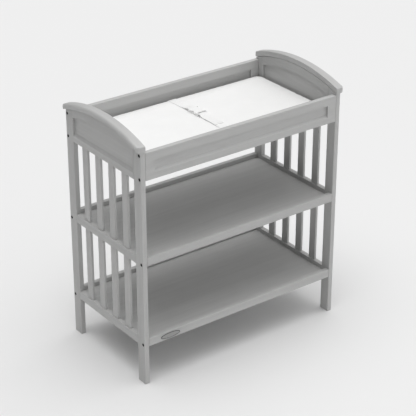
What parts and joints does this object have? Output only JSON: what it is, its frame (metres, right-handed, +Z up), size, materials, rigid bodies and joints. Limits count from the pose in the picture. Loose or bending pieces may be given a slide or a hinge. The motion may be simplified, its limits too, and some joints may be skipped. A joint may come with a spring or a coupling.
{
  "type": "changing table",
  "caption": "Free-standing changing table with arched slatted ends, a railed top tray with a loose pad and buckled safety belt, and two open shelves.",
  "frame": {"origin": "on the floor, under the middle of the table's bounding box", "axes": "+Z up, +X along the table to its right end, -Y towards the front"},
  "size_m": [0.949, 0.496, 1.018],
  "materials": {
    "frame_paint": "satin grey paint over wood",
    "shelf_paint": "satin grey paint over board",
    "pad_cover": "smooth matte wipe-clean cover",
    "webbing": "flat woven webbing",
    "buckle_plastic": "moulded, semi-matte",
    "bolt_black": "black oxide",
    "badge_metal": "satin dark grey"
  },
  "bodies": {
    "root": {"badge_plate": "badge_metal", "bolt_front_left_1": "bolt_black", "bolt_front_left_2": "bolt_black", "bolt_front_left_3": "bolt_black", "bolt_front_left_4": "bolt_black", "bolt_front_right_1": "bolt_black", "bolt_front_right_2": "bolt_black", "bolt_front_right_3": "bolt_black", "bolt_front_right_4": "bolt_black", "bolt_rear_left_1": "bolt_black", "bolt_rear_left_2": "bolt_black", "bolt_rear_left_3": "bolt_black", "bolt_rear_left_4": "bolt_black", "bolt_rear_right_1": "bolt_black", "bolt_rear_right_2": "bolt_black", "bolt_rear_right_3": "bolt_black", "bolt_rear_right_4": "bolt_black", "cap_left": "frame_paint", "cap_right": "frame_paint", "end_head_left": "frame_paint", "end_head_right": "frame_paint", "end_rail_lower_left": "frame_paint", "end_rail_lower_right": "frame_paint", "end_rail_upper_left": "frame_paint", "end_rail_upper_right": "frame_paint", "platform": "shelf_paint", "post_front_left": "frame_paint", "post_front_right": "frame_paint", "post_rear_left": "frame_paint", "post_rear_right": "frame_paint", "shelf_lower": "shelf_paint", "shelf_rail_lower_front": "frame_paint", "shelf_rail_lower_rear": "frame_paint", "shelf_rail_upper_front": "frame_paint", "shelf_rail_upper_rear": "frame_paint", "shelf_upper": "shelf_paint", "slat_lower_left_1": "frame_paint", "slat_lower_left_2": "frame_paint", "slat_lower_left_3": "frame_paint", "slat_lower_left_4": "frame_paint", "slat_lower_right_1": "frame_paint", "slat_lower_right_2": "frame_paint", "slat_lower_right_3": "frame_paint", "slat_lower_right_4": "frame_paint", "slat_upper_left_1": "frame_paint", "slat_upper_left_2": "frame_paint", "slat_upper_left_3": "frame_paint", "slat_upper_left_4": "frame_paint", "slat_upper_right_1": "frame_paint", "slat_upper_right_2": "frame_paint", "slat_upper_right_3": "frame_paint", "slat_upper_right_4": "frame_paint", "top_rail_front": "frame_paint", "top_rail_rear": "frame_paint"},
    "pad": {"pad": "pad_cover", "belt_front": "webbing", "belt_rear": "webbing", "buckle_socket": "buckle_plastic"},
    "tongue": {"buckle_tongue": "buckle_plastic"}
  },
  "joints": [
    {"name": "pad_lift", "type": "slide", "parent": "root", "child": "pad", "axis": [0, 0, 1], "range_m": [0, 0.15]},
    {"name": "buckle_release", "type": "slide", "parent": "pad", "child": "tongue", "axis": [0, -1, 0], "range_m": [0, 0.035], "deforming": ["belt_front"]}
  ]
}
